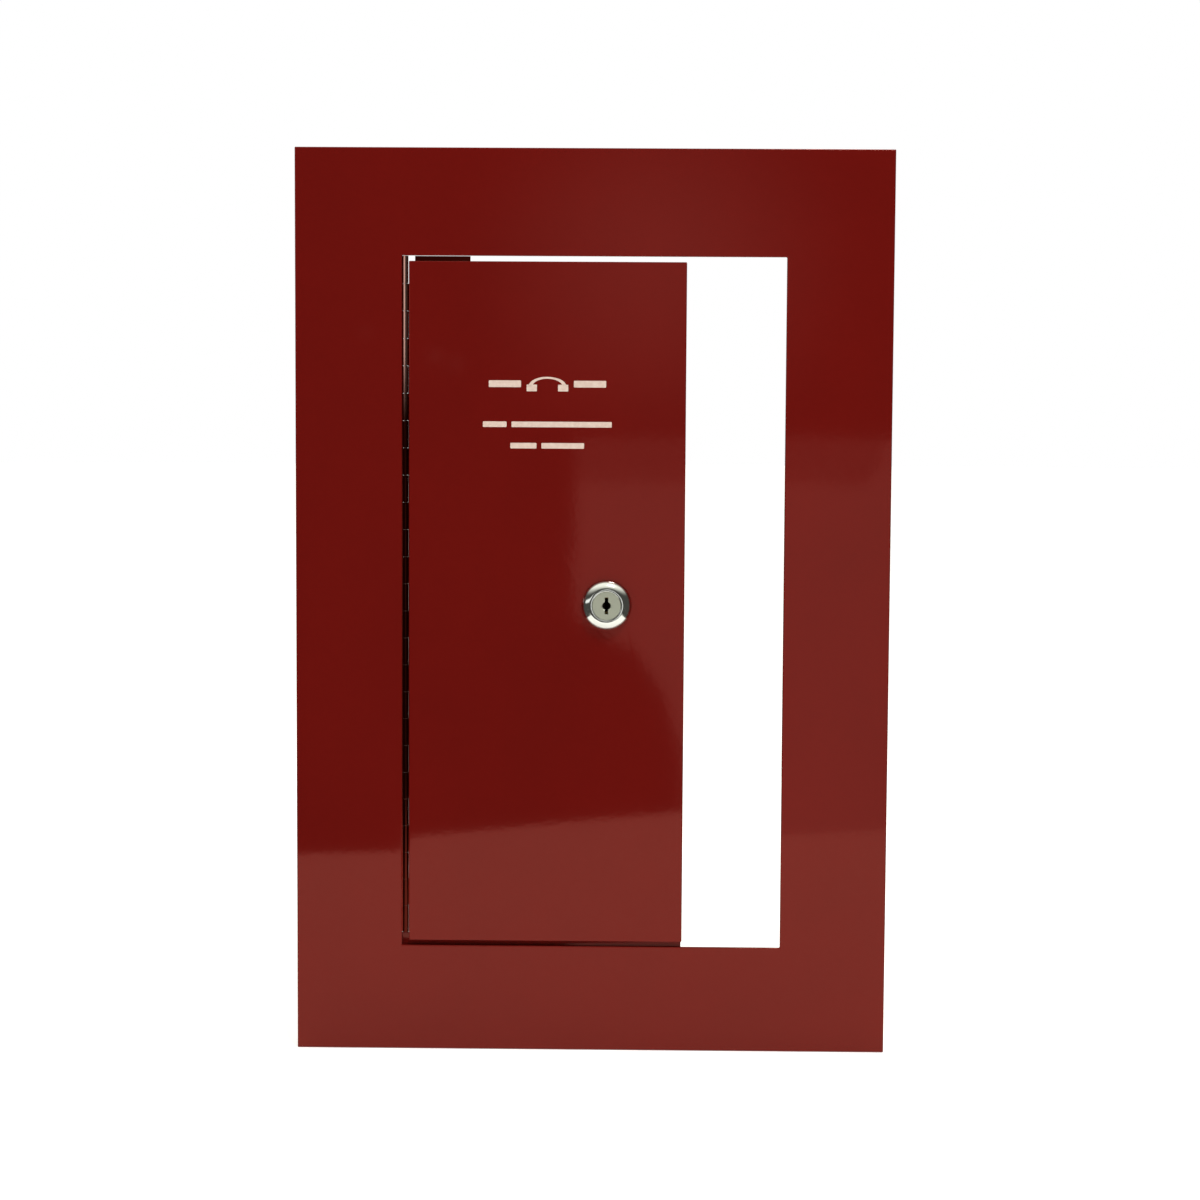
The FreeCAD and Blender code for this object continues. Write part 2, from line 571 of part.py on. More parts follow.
def make_lock_plug():
    """Plug with its head, square tail, keyway, tumbler slots and the bore for the cam screw."""
    body = new_body("lock_plug", LOCK_X)
    shoulder = f"{PLUG_SHOULDER} - Sizes.running_clearance"
    turn(body, "PartDesign::Revolution", [
        ("0", PLUG_FRONT),
        ("Sizes.plug_head_diameter / 2", PLUG_FRONT),
        ("Sizes.plug_head_diameter / 2", shoulder),
        ("Sizes.plug_diameter / 2", shoulder),
        ("Sizes.plug_diameter / 2", PLUG_REAR),
        ("0", PLUG_REAR),
    ])
    tail = new_sketch(body, "XZ", PLUG_REAR)
    half = "Sizes.tail_width / 2"
    add_rectangle(tail, f"-{half}", f"-{half}", half, half)
    pad(body, tail, "XZ", f"{TAIL_END} - {PLUG_REAR}")
    slots = new_sketch(body, "XY", "-Sizes.plug_head_diameter")
    slot_half = "(Sizes.wafer_width / 2 + Sizes.running_clearance)"
    for i in range(int(value_of("Sizes.wafer_count"))):
        add_rectangle(slots, f"-{slot_half}", f"{wafer_place(i)} - Sizes.running_clearance", slot_half,
                      f"{wafer_place(i)} + Sizes.wafer_thickness + Sizes.running_clearance")
    pocket(body, slots, "XY", "2 * Sizes.plug_head_diameter")
    keyway = new_sketch(body, "XZ", PLUG_FRONT)
    add_rectangle(keyway, "-Sizes.keyway_width / 2", "-Sizes.keyway_height / 2",
                  "Sizes.keyway_width / 2", "Sizes.keyway_height / 2")
    pocket(body, keyway, "XZ", "Sizes.keyway_depth")
    turn(body, "PartDesign::Groove", [
        ("0", PLUG_FRONT),
        ("Sizes.keyway_dimple_diameter / 2", PLUG_FRONT),
        ("0", f"{PLUG_FRONT} + Sizes.keyway_dimple_depth"),
    ])
    bore_front = f"({SCREW_SEAT} - Sizes.screw_length - Sizes.screw_tip_gap)"
    bore = new_sketch(body, "XZ", bore_front)
    add_circle(bore, "0", "0", "Sizes.screw_diameter + 2 * Sizes.running_clearance")
    pocket(body, bore, "XZ", f"{TAIL_END} - {bore_front}")


def make_wafers():
    """Flat tumblers in the plug, each with a window that the key passes through."""
    corner_radius = "(Sizes.plug_diameter / 2 - Sizes.wafer_corner_gap)"
    height = f"(2 * sqrt({corner_radius} ^ 2 - (Sizes.wafer_width / 2) ^ 2))"
    for i in range(int(value_of("Sizes.wafer_count"))):
        plate = primitive("Part::Box", f"{LOCK_X} - Sizes.wafer_width / 2", wafer_place(i),
                          f"-{height} / 2", Length="Sizes.wafer_width",
                          Width="Sizes.wafer_thickness", Height=height)
        window = primitive("Part::Box", f"{LOCK_X} - Sizes.wafer_window_width / 2", wafer_place(i),
                           "-Sizes.wafer_window_height / 2", Length="Sizes.wafer_window_width",
                           Width="Sizes.wafer_thickness", Height="Sizes.wafer_window_height")
        keep(cut(plate, window), f"wafer_tumbler_{i + 1}")


def cut_square_hole(body, start, length):
    """Square hole for the plug's tail about the body's Y axis."""
    hole = new_sketch(body, "XZ", start)
    half = "(Sizes.tail_width / 2 + Sizes.tail_fit)"
    add_rectangle(hole, f"-{half}", f"-{half}", half, half)
    pocket(body, hole, "XZ", length)


def make_cam_stop_washer():
    """Washer on the tail whose lug meets the stop on the barrel at both ends of the turn."""
    body = new_body("cam_stop_washer", LOCK_X)
    disc = new_sketch(body, "XZ", PLUG_REAR)
    add_circle(disc, "0", "0", "Sizes.stop_washer_diameter")
    pad(body, disc, "XZ", "Sizes.stop_washer_thickness")
    lug = new_sketch(body, "XZ", PLUG_REAR)
    side_x = "Sizes.stop_lug_reach * sin(Sizes.stop_lug_half_angle)"
    side_z = "-Sizes.stop_lug_reach * cos(Sizes.stop_lug_half_angle)"
    add_polygon(lug, [("0", "0"), (f"-{side_x}", side_z), ("0", "-Sizes.stop_lug_reach"), (side_x, side_z)])
    pad(body, lug, "XZ", "Sizes.stop_washer_thickness")
    cut_square_hole(body, PLUG_REAR, "Sizes.stop_washer_thickness")


def make_lock_cam():
    """Flat cam with a round end on the tail; its tongue hangs down while the lock is open."""
    body = new_body("lock_cam", LOCK_X)
    head = new_sketch(body, "XZ", CAM_FRONT)
    add_circle(head, "0", "0", "Sizes.cam_head_diameter")
    pad(body, head, "XZ", "Sizes.cam_thickness")
    tongue = new_sketch(body, "XZ", CAM_FRONT)
    half = "Sizes.cam_width / 2"
    add_rectangle(tongue, f"-{half}", "-Sizes.cam_length", half, "0")
    pad(body, tongue, "XZ", "Sizes.cam_thickness")
    round_edges(body, "Sizes.cam_tip_round", edge_along("Y", X=half, Z="Sizes.cam_length"))
    cut_square_hole(body, CAM_FRONT, "Sizes.cam_thickness")


def make_cam_fastening():
    """Split washer and cross-recessed screw that hold the cam on the tail."""
    washer = primitive("Part::Cylinder", LOCK_X, CAM_REAR, "0", Height="Sizes.cam_washer_thickness",
                       Radius="Sizes.cam_washer_diameter / 2")
    hole = primitive("Part::Cylinder", LOCK_X, CAM_REAR, "0", Height="Sizes.cam_washer_thickness",
                     Radius="Sizes.screw_diameter / 2 + Sizes.running_clearance")
    split = primitive("Part::Box", f"{LOCK_X} - Sizes.cam_washer_split / 2", CAM_REAR, "0",
                      Length="Sizes.cam_washer_split", Width="Sizes.cam_washer_thickness",
                      Height="Sizes.cam_washer_diameter")
    keep(cut(cut(washer, hole), split), "cam_lock_washer")
    screw = new_body("cam_screw", LOCK_X)
    head_top = f"{SCREW_SEAT} + Sizes.screw_head_height"
    turn(screw, "PartDesign::Revolution", [
        ("0", f"{SCREW_SEAT} - Sizes.screw_length"),
        ("Sizes.screw_diameter / 2", f"{SCREW_SEAT} - Sizes.screw_length"),
        ("Sizes.screw_diameter / 2", SCREW_SEAT),
        ("Sizes.screw_head_diameter / 2", SCREW_SEAT),
        ("Sizes.screw_head_diameter / 2", head_top),
        ("0", head_top),
    ])
    recess_start = f"{head_top} - Sizes.recess_depth"
    long, short = "Sizes.recess_length / 2", "Sizes.recess_width / 2"
    for half_x, half_z in ((long, short), (short, long)):
        recess = new_sketch(screw, "XZ", recess_start)
        add_rectangle(recess, f"-{half_x}", f"-{half_z}", half_x, half_z)
        pocket(screw, recess, "XZ", "Sizes.recess_depth")


def export_subparts():
    """Check every object, then write one STEP file for each sub-part."""
    doc.recompute()
    for item in doc.Objects:
        if "Invalid" in item.State or "Error" in item.State:
            raise RuntimeError(f"{item.Label}: {item.State}")
    for label, piece in subparts.items():
        if piece.Shape.isNull() or not piece.Shape.isValid():
            raise RuntimeError(f"{label}: bad shape")
    os.makedirs("parts", exist_ok=True)
    for label, piece in subparts.items():
        piece.Shape.exportStep(f"parts/{label}.step")


make_trim_plate()
make_door_panel()
make_hinge()
for prefix, side in (("trim_hinge", "-"), ("door_hinge", "+")):
    places = [(f"({PIN_X} {side} Sizes.hinge_stud_offset)", height) for height in stud_heights()]
    make_studs_and_nuts(prefix, places, "Sizes.leaf_thickness")
make_brackets()
make_door_stop_strip()
make_lock_housing()
make_lock_nut_and_washer()
make_lock_plug()
make_wafers()
make_cam_stop_washer()
make_lock_cam()
make_cam_fastening()
export_subparts()
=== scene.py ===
import math

import bmesh
import bpy
from mathutils import Matrix, Vector


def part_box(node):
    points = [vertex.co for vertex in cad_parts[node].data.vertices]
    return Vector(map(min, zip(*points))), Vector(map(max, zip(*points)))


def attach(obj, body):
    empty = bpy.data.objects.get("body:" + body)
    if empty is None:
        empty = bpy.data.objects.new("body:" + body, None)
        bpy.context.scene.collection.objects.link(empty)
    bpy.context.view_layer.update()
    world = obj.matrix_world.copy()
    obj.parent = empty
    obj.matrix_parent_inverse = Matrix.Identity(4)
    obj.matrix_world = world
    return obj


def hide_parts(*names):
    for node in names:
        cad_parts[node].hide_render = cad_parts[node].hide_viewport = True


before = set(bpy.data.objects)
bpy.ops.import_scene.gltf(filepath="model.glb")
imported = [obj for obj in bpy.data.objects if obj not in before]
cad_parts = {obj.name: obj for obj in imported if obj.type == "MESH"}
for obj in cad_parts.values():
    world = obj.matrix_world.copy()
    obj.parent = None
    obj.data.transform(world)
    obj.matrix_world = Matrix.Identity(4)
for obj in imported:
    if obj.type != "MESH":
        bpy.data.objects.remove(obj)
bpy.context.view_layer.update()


# Camera: a long lens 1.2 m in front of the trim and a little above its middle. It looks slightly down,
# and it is rolled by a third of a degree.
camera = bpy.data.objects.new("camera", bpy.data.cameras.new("camera"))
bpy.context.collection.objects.link(camera)
camera.location = (0.0191, -1.1818, 0.0981)
camera.rotation_euler = (math.radians(85.36), math.radians(-0.33), math.radians(0.79))
camera.data.lens = 79.08
bpy.context.scene.camera = camera


# Room: a white studio that is bright overhead and dim at eye level, so that gloss shows a dark band
# between a light ceiling and a light floor. What the camera sees past the floor is plain white.
def linear(colour):
    """An sRGB hex colour as the linear values that a shader takes."""
    parts = [int(colour[i:i + 2], 16) / 255 for i in (1, 3, 5)]
    return [*(p / 12.92 if p <= 0.04045 else ((p + 0.055) / 1.055) ** 2.4 for p in parts), 1.0]


def add(finish, kind, inputs=None, **settings):
    """Adds one node to a finish, with its settings, and a value or a link for each named input."""
    node = finish.node_tree.nodes.new("ShaderNode" + kind)
    for name, value in settings.items():
        setattr(node, name, value)
    for name, value in (inputs or {}).items():
        if isinstance(value, bpy.types.NodeSocket):
            finish.node_tree.links.new(value, node.inputs[name])
        else:
            node.inputs[name].default_value = value
    return node


room = bpy.data.worlds.new("room")
bpy.context.scene.world = room
room.use_nodes = True
room.node_tree.nodes.clear()
direction = add(room, "TexCoord")
height = add(room, "SeparateXYZ", {"Vector": direction.outputs["Generated"]})
overhead = add(room, "MapRange", {
    "Value": height.outputs["Z"], "From Min": 0.35, "From Max": 0.90, "To Min": 0.09, "To Max": 1.6,
}, interpolation_type="SMOOTHSTEP")
dim_room = add(room, "Background", {"Color": linear("#f4f2ea"), "Strength": overhead.outputs["Result"]})
white_room = add(room, "Background", {"Color": linear("#ffffff"), "Strength": 1.0})
seen = add(room, "LightPath")
both = add(room, "MixShader", {
    0: seen.outputs["Is Camera Ray"], 1: dim_room.outputs[0], 2: white_room.outputs[0],
})
add(room, "OutputWorld", {"Surface": both.outputs[0]})
bpy.context.scene.view_settings.view_transform = "Standard"


# Floor: a plain pale sweep of matt board, lit from below as a light table is. The gloss mirrors only
# the small board near the object, with its uneven front edge; past it the mirrored room is dark.
FLOOR_RADIUS = 9.0
BOARD_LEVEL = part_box("trim_plate")[0].z - 0.0002
FLOOR_LEVEL = BOARD_LEVEL - 0.0002
pale_board = bpy.data.materials.new("matt_white_board")
pale_board.use_nodes = True
pale_board.node_tree.nodes.clear()
board_shade = add(pale_board, "BsdfPrincipled", {
    "Base Color": linear("#f2f1ee"), "Roughness": 0.9, "Specular IOR Level": 0.2,
    "Emission Color": linear("#ffffff"), "Emission Strength": 0.42,
})
add(pale_board, "OutputMaterial", {"Surface": board_shade.outputs[0]})


def stage_piece(name, shape, finish):
    """A floor, board or light card: part of the studio, not of the object."""
    mesh = bpy.data.meshes.new(name)
    shape.to_mesh(mesh)
    shape.free()
    mesh.materials.append(finish)
    made = bpy.data.objects.new(name, mesh)
    bpy.context.collection.objects.link(made)
    return made


shape = bmesh.new()
bmesh.ops.create_circle(shape, cap_ends=True, segments=96, radius=FLOOR_RADIUS)
bmesh.ops.translate(shape, vec=(0, 0, FLOOR_LEVEL), verts=shape.verts)
floor = stage_piece("floor", shape, pale_board)
floor.visible_glossy = False

shape = bmesh.new()
shape.faces.new([shape.verts.new((x, y, BOARD_LEVEL)) for x, y in (
    (-0.28, -0.475), (-0.131, -0.516), (-0.131, -0.566), (0.054, -0.677), (0.100, -0.677),
    (0.100, -0.580), (0.28, -0.629), (0.28, 0.85), (-0.28, 0.85),
)])
stage_piece("near_board", shape, pale_board)


# Key light: one soft box overhead, in front and a little to the right. It throws the short shadow
# under the lock.
key_light = bpy.data.objects.new("key_light", bpy.data.lights.new("key_light", "AREA"))
bpy.context.collection.objects.link(key_light)
key_light.data.shape = "DISK"
key_light.data.size = 0.45
key_light.data.energy = 19
key_light.location = (0.36, -0.80, 1.60)
key_light.rotation_mode = "QUATERNION"
key_light.rotation_quaternion = (-key_light.location).to_track_quat("-Z", "Y")
key_light.visible_camera = False


# Light cards: sheets far behind the camera that only gloss can see. A dim one with a round lower
# corner stands at the right and a tall one at the left. A round one high up and three small ones
# fade out towards their edges.
def glow(name, strength, fade=None):
    """A card's light: even, or with a strength that fades over the card."""
    finish = bpy.data.materials.new(name)
    finish.use_nodes = True
    finish.node_tree.nodes.clear()
    light = add(finish, "Emission", {"Color": linear("#ffffff"), "Strength": strength})
    if fade:
        finish.node_tree.links.new(fade(finish), light.inputs["Strength"])
    clear = add(finish, "BsdfTransparent")
    together = add(finish, "AddShader", {0: clear.outputs[0], 1: light.outputs[0]})
    add(finish, "OutputMaterial", {"Surface": together.outputs[0]})
    return finish


CARD_DISTANCE = 2.4


def mirrored(x, z):
    """The place on the cards' plane that the camera sees mirrored at a place on the trim's face."""
    reach = CARD_DISTANCE / -camera.location.y
    across = x + (x - camera.location.x) * reach
    up = z + (z - camera.location.z) * reach
    return Vector((across, -CARD_DISTANCE, up))


def card(name, corners, finish):
    """A flat card through its corners."""
    shape = bmesh.new()
    shape.faces.new([shape.verts.new(corner) for corner in corners])
    made = stage_piece(name, shape, finish)
    made.visible_camera = False
    made.visible_diffuse = False
    made.visible_shadow = False


card("card_right", [mirrored(x, z) for x, z in (
    (-0.008, 0.075), (-0.008, -0.004), (0.020, -0.020), (0.034, -0.040), (0.042, -0.066),
    (0.046, -0.120), (0.140, -0.120), (0.140, 0.075),
)], glow("dim_card", 0.92))


def lamp_glow(name, x, z, radius, strength):
    """A round card whose light fades to nothing at its edge, mirrored at a place on the trim's face."""
    middle = mirrored(x, z)
    reach = (mirrored(x + radius, z) - middle).length

    def fade(finish):
        where = add(finish, "TexCoord")
        away = add(finish, "VectorMath", {0: where.outputs["Object"], 1: middle}, operation="DISTANCE")
        fading = add(finish, "MapRange", {
            "Value": away.outputs["Value"], "From Min": 0.0, "From Max": reach,
            "To Min": strength, "To Max": 0.0,
        }, interpolation_type="SMOOTHSTEP")
        return fading.outputs["Result"]

    corners = ((-1, -1), (1, -1), (1, 1), (-1, 1))
    square = [middle + Vector((across * reach, 0, up * reach)) for across, up in corners]
    card(name, square, glow(name, strength, fade))


lamp_glow("glow_top", 0.030, 0.155, 0.100, 0.60)
lamp_glow("glow_small_1", -0.072, 0.111, 0.005, 0.5)
lamp_glow("glow_small_2", -0.062, 0.107, 0.006, 0.4)
lamp_glow("glow_small_3", -0.102, 0.121, 0.004, 0.35)


TALL_DISTANCE = 3.0
TALL_FOOT, TALL_FULL, TALL_TOP = 0.05, 0.16, 0.5


def rising(finish):
    """The tall card's light starts above eye level, so only the top of an upright bar mirrors it."""
    where = add(finish, "TexCoord")
    up = add(finish, "SeparateXYZ", {"Vector": where.outputs["Object"]})
    fading = add(finish, "MapRange", {
        "Value": up.outputs["Z"], "From Min": TALL_FOOT, "From Max": TALL_FULL,
        "To Min": 0.0, "To Max": 1.35,
    }, interpolation_type="SMOOTHSTEP")
    return fading.outputs["Result"]


near_edge, far_edge = [
    Vector((-TALL_DISTANCE * math.sin(turn), -TALL_DISTANCE * math.cos(turn), 0))
    for turn in (math.radians(15), math.radians(74))
]
foot, top = Vector((0, 0, TALL_FOOT)), Vector((0, 0, TALL_TOP))
card("card_left", [near_edge + foot, far_edge + foot, far_edge + top, near_edge + top],
     glow("tall_card", 1.0, rising))


# Trim plate: one flat sheet of 1.9 mm steel with a tall opening punched in it. Its edges are
# rounded a little by deburring, and the whole sheet is powder coated in gloss red.
def new_finish(name):
    """An empty finish, to be filled with nodes."""
    finish = bpy.data.materials.new(name)
    finish.use_nodes = True
    finish.node_tree.nodes.clear()
    return finish


# Gloss powder coat on steel: a hard, smooth polyester skin that mirrors the room, with the faint
# orange peel of melted powder. The back gets only overspray, so it is thinner, duller and rougher.
# The sheet under it is never quite flat, which bends the mirrored room.
red_powder_coat = new_finish("red_powder_coat")
where = add(red_powder_coat, "TexCoord")
facing = add(red_powder_coat, "SeparateXYZ", {"Vector": where.outputs["Normal"]})
on_back = add(red_powder_coat, "MapRange", {"Value": facing.outputs["Y"], "From Min": 0.3, "From Max": 0.8})
cloud = add(red_powder_coat, "TexNoise", {
    "Vector": where.outputs["Object"], "Scale": 14.0, "Detail": 3.0, "Roughness": 0.6,
})
front_red = add(red_powder_coat, "Mix", {
    0: cloud.outputs["Fac"], 6: linear("#640f0b"), 7: linear("#5a0d0a"),
}, data_type="RGBA")
red = add(red_powder_coat, "Mix", {
    0: on_back.outputs["Result"], 6: front_red.outputs[2], 7: linear("#61140f"),
}, data_type="RGBA")
gloss = add(red_powder_coat, "MapRange", {
    "Value": on_back.outputs["Result"], "To Min": 0.045, "To Max": 0.30,
})
sheet_waves = add(red_powder_coat, "TexNoise", {
    "Vector": where.outputs["Object"], "Scale": 5.5, "Detail": 1.0,
})
flatness = add(red_powder_coat, "Bump", {
    "Height": sheet_waves.outputs["Fac"], "Strength": 1.0, "Distance": 0.00012,
})
orange_peel = add(red_powder_coat, "TexNoise", {
    "Vector": where.outputs["Object"], "Scale": 420.0, "Detail": 2.0, "Roughness": 0.4,
})
peel_depth = add(red_powder_coat, "MapRange", {
    "Value": on_back.outputs["Result"], "To Min": 0.000004, "To Max": 0.00003,
})
skin = add(red_powder_coat, "Bump", {
    "Height": orange_peel.outputs["Fac"], "Strength": 1.0, "Distance": peel_depth.outputs["Result"],
    "Normal": flatness.outputs[0],
})
coat = add(red_powder_coat, "BsdfPrincipled", {
    "Base Color": red.outputs[2], "Roughness": gloss.outputs["Result"], "IOR": 1.5,
    "Specular Tint": linear("#ffa090"), "Normal": skin.outputs[0],
})
add(red_powder_coat, "OutputMaterial", {"Surface": coat.outputs[0]})


def thicken(shape, step):
    """Gives a flat outline its thickness along a step, and hands back the vertices of the far face."""
    grown = bmesh.ops.extrude_face_region(shape, geom=shape.faces[:], use_keep_orig=True)["geom"]
    far = [part for part in grown if isinstance(part, bmesh.types.BMVert)]
    bmesh.ops.translate(shape, vec=step, verts=far)
    return far


def deburr(shape, radius, segments=3):
    """Rounds every sharp edge by the same small radius."""
    bmesh.ops.recalc_face_normals(shape, faces=shape.faces)
    sharp = [e for e in shape.edges if e.is_manifold and e.calc_face_angle(0) > math.radians(50)]
    bmesh.ops.bevel(shape, geom=sharp, offset=radius, segments=segments, profile=0.5, affect="EDGES",
                    material=-1, clamp_overlap=True)


def finish_piece(name, shape, finish, body, slot, *nodes):
    """Makes a piece of a shape: closed, facing outwards, moving with a body, in place of CAD nodes."""
    bmesh.ops.remove_doubles(shape, verts=shape.verts, dist=0.000001)
    bmesh.ops.recalc_face_normals(shape, faces=shape.faces)
    mesh = bpy.data.meshes.new(name)
    shape.to_mesh(mesh)
    shape.free()
    mesh.materials.append(finish)
    mesh.shade_smooth()
    mesh.set_sharp_from_angle(angle=math.radians(32))
    made = bpy.data.objects.new(name, mesh)
    bpy.context.collection.objects.link(made)
    flats = made.modifiers.new("flat_faces_stay_flat", "WEIGHTED_NORMAL")
    flats.keep_sharp = True
    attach(made, body)
    if nodes:
        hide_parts(*nodes)


UPRIGHT = Matrix.Rotation(math.radians(90), 4, "X")     # a flat shape drawn on the floor, stood up


def upright_sheet(shape, left, right, bottom, top, y):
    """An upright rectangle that faces the room."""
    bmesh.ops.create_grid(shape, x_segments=1, y_segments=1, size=0.5, matrix=UPRIGHT)
    bmesh.ops.scale(shape, vec=(right - left, 1, top - bottom), verts=shape.verts)
    bmesh.ops.translate(shape, vec=((left + right) / 2, y, (bottom + top) / 2), verts=shape.verts)


BORDER = 0.047625
SHEET_EDGE = 0.0004     # radius of the deburred edges
low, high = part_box("trim_plate")
shape = bmesh.new()
upright_sheet(shape, low.x, high.x, low.z, high.z, low.y)
rim = bmesh.ops.inset_region(shape, faces=shape.faces[:], thickness=BORDER, use_boundary=True,
                              use_even_offset=True)["faces"]
bmesh.ops.delete(shape, geom=[f for f in shape.faces if f not in rim], context="FACES")
thicken(shape, (0, high.y - low.y, 0))
deburr(shape, SHEET_EDGE)
finish_piece("trim_sheet", shape, red_powder_coat, "trim", "red_paint", "trim_plate")


# Stop strip: a folded strip of thinner steel behind the opening's lower edge, which the bottom of the
# door comes to rest against. It is welded to the back of the trim and painted with it.
def eased_copy(name, node, finish, body, slot, radius):
    """A CAD solid whose edges are broken as handling and plating break them."""
    shape = bmesh.new()
    shape.from_mesh(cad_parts[node].data)
    bmesh.ops.remove_doubles(shape, verts=shape.verts, dist=0.000005)
    bmesh.ops.dissolve_limit(shape, angle_limit=math.radians(1), verts=shape.verts, edges=shape.edges)
    deburr(shape, radius, segments=2)
    finish_piece(name, shape, finish, body, slot, node)


STRIP_EDGE = 0.0003
eased_copy("stop_strip", "door_stop_strip", red_powder_coat, "trim", "red_paint", STRIP_EDGE)


# Wall brackets: four angles of galvanised sheet on the back of the trim, screwed to the sides of the
# box in the wall. Hot zinc gives them a pale grey skin of large, dull and bright crystals.
galvanised_sheet = new_finish("galvanised_sheet")
where = add(galvanised_sheet, "TexCoord")
warp = add(galvanised_sheet, "TexNoise", {
    "Vector": where.outputs["Object"], "Scale": 300.0, "Detail": 2.0,
})
shifted = add(galvanised_sheet, "VectorMath", {
    0: warp.outputs["Color"], 1: (0.0025, 0.0025, 0.0025), 2: where.outputs["Object"],
}, operation="MULTIPLY_ADD")
spangle = add(galvanised_sheet, "TexVoronoi", {"Vector": shifted.outputs[0], "Scale": 190.0})
crystal = add(galvanised_sheet, "SeparateColor", {"Color": spangle.outputs["Color"]})
zinc_grey = add(galvanised_sheet, "Mix", {
    0: crystal.outputs["Red"], 6: linear("#8e9394"), 7: linear("#bcc0c0"),
}, data_type="RGBA")
zinc_dullness = add(galvanised_sheet, "MapRange", {
    "Value": crystal.outputs["Green"], "To Min": 0.32, "To Max": 0.58,
})
crystal_edges = add(galvanised_sheet, "Bump", {
    "Height": spangle.outputs["Distance"], "Strength": 0.25, "Distance": 0.0003,
})
zinc_skin = add(galvanised_sheet, "BsdfPrincipled", {
    "Base Color": zinc_grey.outputs[2], "Metallic": 1.0, "Roughness": zinc_dullness.outputs["Result"],
    "Normal": crystal_edges.outputs[0],
})
add(galvanised_sheet, "OutputMaterial", {"Surface": zinc_skin.outputs[0]})

SHEARED_EDGE = 0.00025
for corner in ("upper_left", "lower_left", "upper_right", "lower_right"):
    eased_copy("angle_" + corner, "bracket_" + corner, galvanised_sheet, "trim", "galvanised_sheet",
               SHEARED_EDGE)


# Weld studs and flange nuts: threaded studs shot onto the back of the sheets hold the brackets and
# the hinge; each has a zinc-plated nut whose flange grips the sheet.
# Bright zinc over rolled threads and cold-headed nuts: bluish with a yellow tinge here and there, and
# finely dulled by tumbling in the plating barrel.
zinc_plate = new_finish("bright_zinc_plate")
where = add(zinc_plate, "TexCoord")
tumbling = add(zinc_plate, "TexNoise", {"Vector": where.outputs["Object"], "Scale": 900.0, "Detail": 3.0})
passivate = add(zinc_plate, "TexNoise", {"Vector": where.outputs["Object"], "Scale": 120.0, "Detail": 2.0})
zinc_tone = add(zinc_plate, "Mix", {
    0: passivate.outputs["Fac"], 6: linear("#b9bfc6"), 7: linear("#cfcdc2"),
}, data_type="RGBA")
zinc_gloss = add(zinc_plate, "MapRange", {"Value": tumbling.outputs["Fac"], "To Min": 0.20, "To Max": 0.42})
marks = add(zinc_plate, "Bump", {"Height": tumbling.outputs["Fac"], "Strength": 0.3, "Distance": 0.00004})
zinc_coat = add(zinc_plate, "BsdfPrincipled", {
    "Base Color": zinc_tone.outputs[2], "Metallic": 1.0, "Roughness": zinc_gloss.outputs["Result"],
    "Normal": marks.outputs[0],
})
add(zinc_plate, "OutputMaterial", {"Surface": zinc_coat.outputs[0]})

STUD_RADIUS = 0.00205
STUD_THREAD = 0.0004    # depth of the thread
STUD_PITCH = 0.0007
INTO_WALL = Matrix.Rotation(math.radians(-90), 3, "X")     # what was made along Z points at the wall


def cut(shape, place, outward):
    """Saws off what lies outside a plane and closes the cut."""
    bmesh.ops.bisect_plane(shape, geom=shape.verts[:] + shape.edges[:] + shape.faces[:], dist=0.000001,
                           plane_co=place, plane_no=outward, clear_outer=True)
    bmesh.ops.holes_fill(shape, edges=[e for e in shape.edges if e.is_boundary], sides=0)


def threaded_rod(shape, radius, depth, pitch, start, end, steps=16):
    """A rod along Z with one thread: a V that is swept round and along at once, then cut to length."""
    root = radius - depth
    outline = ((root, 0, start - pitch), (radius, 0, start - pitch / 2), (root, 0, start))
    ridge = [shape.verts.new(point) for point in outline]
    edges = [shape.edges.new(ridge[:2]), shape.edges.new(ridge[1:])]
    turns = math.ceil((end - start) / pitch) + 2
    bmesh.ops.spin(shape, geom=ridge + edges, cent=(0, 0, 0), axis=(0, 0, 1), dvec=(0, 0, pitch / steps),
                   angle=math.tau * turns, steps=steps * turns, use_merge=False)
    bmesh.ops.remove_doubles(shape, verts=shape.verts, dist=0.00001)
    cut(shape, (0, 0, start), (0, 0, -1))
    cut(shape, (0, 0, end), (0, 0, 1))


def set_out(shape, places):
    """Copies what is in the shape to each place (x, z), each turned a little further than the last."""
    bmesh.ops.rotate(shape, cent=(0, 0, 0), matrix=INTO_WALL, verts=shape.verts)
    pattern = shape.verts[:] + shape.edges[:] + shape.faces[:]
    for number, (x, z) in enumerate(places):
        copied = bmesh.ops.duplicate(shape, geom=pattern)["geom"]
        verts = [part for part in copied if isinstance(part, bmesh.types.BMVert)]
        turned_by = Matrix.Rotation(math.radians(23 * number), 3, "Y")
        bmesh.ops.rotate(shape, cent=(0, 0, 0), matrix=turned_by, verts=verts)
        bmesh.ops.translate(shape, vec=(x, 0, z), verts=verts)
    first = [part for part in pattern if isinstance(part, bmesh.types.BMVert)]
    bmesh.ops.delete(shape, geom=first, context="VERTS")


def studs(name, node, body, places):
    """A row or set of weld studs."""
    low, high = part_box(node)
    shape = bmesh.new()
    threaded_rod(shape, STUD_RADIUS, STUD_THREAD, STUD_PITCH, low.y, high.y)
    set_out(shape, places)
    finish_piece(name, shape, zinc_plate, body, "zinc_plate", node)


CORNER_SLOPE = 0.6      # how steeply the corners of a nut are turned off
NUT_ACROSS = 0.00873    # from flat to flat
NUT_BORE = 0.0020
NUT_FOOT = 0.0004       # the hexagon starts this far over the sheet, inside its flange
FLANGE = (              # radius and height over the sheet
    (0.0045, 0), (0.00505, 0), (0.0051, 0.0002), (0.0051, 0.0006), (0.0049, 0.0009),
    (0.0043, 0.0012), (0.0021, 0.0012), (0.0021, 0), (0.0045, 0),
)


